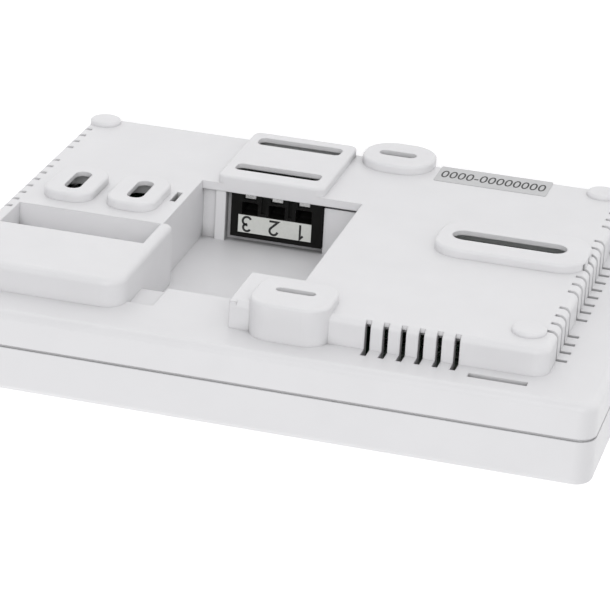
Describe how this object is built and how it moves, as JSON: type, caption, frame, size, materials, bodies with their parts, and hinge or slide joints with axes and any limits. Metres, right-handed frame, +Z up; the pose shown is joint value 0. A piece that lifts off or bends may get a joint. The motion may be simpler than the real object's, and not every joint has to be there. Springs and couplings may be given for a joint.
{
  "type": "video intercom monitor",
  "caption": "Slim wall-mounted video intercom indoor monitor: white two-shell case, dark landscape screen, key row, and a wiring pocket with a screw terminal block in its back.",
  "frame": {"origin": "middle of the raised back, on the plane of the pads that touch the wall", "axes": "screen faces -Y, wall is at Y = 0, +Z up, +X to the right as seen from the screen side"},
  "size_m": [0.1158, 0.0208, 0.0926],
  "materials": {
    "housing_white": "fine satin texture, white ABS",
    "key_white": "satin moulded ABS",
    "window_glass": "glossy black-printed acrylic",
    "black_foam": "open-cell foam",
    "display_dark": "polarised glass, switched off",
    "steel_frame": "stamped sheet",
    "ribbon": "polyimide flex",
    "connector_cream": "moulded",
    "switch_black": "moulded",
    "plunger_black": "moulded",
    "speaker_paper": "paper cone",
    "black_rubber": "moulded",
    "light_pipe_clear": "clear polycarbonate",
    "led_lens": "clear epoxy",
    "board_green": "solder mask",
    "screw_steel": "zinc plated",
    "terminal_black": "glass-filled polyamide",
    "label_white": "printed polyester",
    "label_grey": "printed silver-grey polyester",
    "contact_tin": "tin plated",
    "chip_black": "moulded epoxy",
    "shield_tin": "tin plate",
    "ferrite": "ferrite",
    "capacitor_sleeve": "bare can"
  },
  "bodies": {
    "unit": {"backlight_unit": "steel_frame", "board_screws": "screw_steel", "capacitors": "capacitor_sleeve", "clamp_nut_1": "screw_steel", "clamp_nut_2": "screw_steel", "clamp_nut_3": "screw_steel", "display_connector": "connector_cream", "display_gasket": "black_foam", "display_panel": "display_dark", "display_ribbon": "ribbon", "front_frame": "housing_white", "key_switches": "switch_black", "light_pipe": "light_pipe_clear", "main_board": "board_green", "mic_boot": "black_rubber", "microphone": "steel_frame", "power_inductor": "ferrite", "rear_housing": "housing_white", "screen_window": "window_glass", "serial_label": "label_grey", "shield_can": "shield_tin", "speaker_basket": "steel_frame", "speaker_cone": "speaker_paper", "speaker_gasket": "black_foam", "status_led": "led_lens", "terminal_block": "terminal_black", "terminal_contact_1": "contact_tin", "terminal_contact_2": "contact_tin", "terminal_contact_3": "contact_tin", "terminal_label": "label_white", "video_processor": "chip_black"},
    "key_talk_body": {"key_talk": "key_white", "key_talk_plunger": "plunger_black"},
    "key_unlock_body": {"key_unlock": "key_white", "key_unlock_plunger": "plunger_black"},
    "key_gate_body": {"key_gate": "key_white", "key_gate_plunger": "plunger_black"},
    "key_monitor_body": {"key_monitor": "key_white", "key_monitor_plunger": "plunger_black"},
    "key_mute_body": {"key_mute": "key_white", "key_mute_plunger": "plunger_black"},
    "guard_1": {"wire_guard_1": "contact_tin"},
    "screw_1": {"terminal_screw_1": "screw_steel"},
    "guard_2": {"wire_guard_2": "contact_tin"},
    "screw_2": {"terminal_screw_2": "screw_steel"},
    "guard_3": {"wire_guard_3": "contact_tin"},
    "screw_3": {"terminal_screw_3": "screw_steel"}
  },
  "joints": [
    {"name": "key_talk_press", "type": "slide", "parent": "unit", "child": "key_talk_body", "axis": [0, 1, 0], "range_m": [0, 0.0005], "stiffness_N_per_m": 1500, "springref_m": -0.0006},
    {"name": "key_unlock_press", "type": "slide", "parent": "unit", "child": "key_unlock_body", "axis": [0, 1, 0], "range_m": [0, 0.0005], "stiffness_N_per_m": 1500, "springref_m": -0.0006},
    {"name": "key_gate_press", "type": "slide", "parent": "unit", "child": "key_gate_body", "axis": [0, 1, 0], "range_m": [0, 0.0005], "stiffness_N_per_m": 1500, "springref_m": -0.0006},
    {"name": "key_monitor_press", "type": "slide", "parent": "unit", "child": "key_monitor_body", "axis": [0, 1, 0], "range_m": [0, 0.0005], "stiffness_N_per_m": 1500, "springref_m": -0.0006},
    {"name": "key_mute_press", "type": "slide", "parent": "unit", "child": "key_mute_body", "axis": [0, 1, 0], "range_m": [0, 0.0005], "stiffness_N_per_m": 1500, "springref_m": -0.0006},
    {"name": "guard_1_slide", "type": "slide", "parent": "unit", "child": "guard_1", "axis": [0, -1, 0], "range_m": [0, 0.00135]},
    {"name": "screw_1_turn", "type": "hinge", "parent": "guard_1", "child": "screw_1", "pos_m": [-0.00347, -0.0048, -0.0181], "axis": [0, -1, 0], "range_deg": [0, 1080]},
    {"name": "guard_2_slide", "type": "slide", "parent": "unit", "child": "guard_2", "axis": [0, -1, 0], "range_m": [0, 0.00135]},
    {"name": "screw_2_turn", "type": "hinge", "parent": "guard_2", "child": "screw_2", "pos_m": [-0.00855, -0.0048, -0.0181], "axis": [0, -1, 0], "range_deg": [0, 1080]},
    {"name": "guard_3_slide", "type": "slide", "parent": "unit", "child": "guard_3", "axis": [0, -1, 0], "range_m": [0, 0.00135]},
    {"name": "screw_3_turn", "type": "hinge", "parent": "guard_3", "child": "screw_3", "pos_m": [-0.01363, -0.0048, -0.0181], "axis": [0, -1, 0], "range_deg": [0, 1080]}
  ],
  "couplings": [
    {"joint": "screw_1_turn", "follows": "guard_1_slide", "rad_per_m": 13963},
    {"joint": "screw_2_turn", "follows": "guard_2_slide", "rad_per_m": 13963},
    {"joint": "screw_3_turn", "follows": "guard_3_slide", "rad_per_m": 13963}
  ]
}
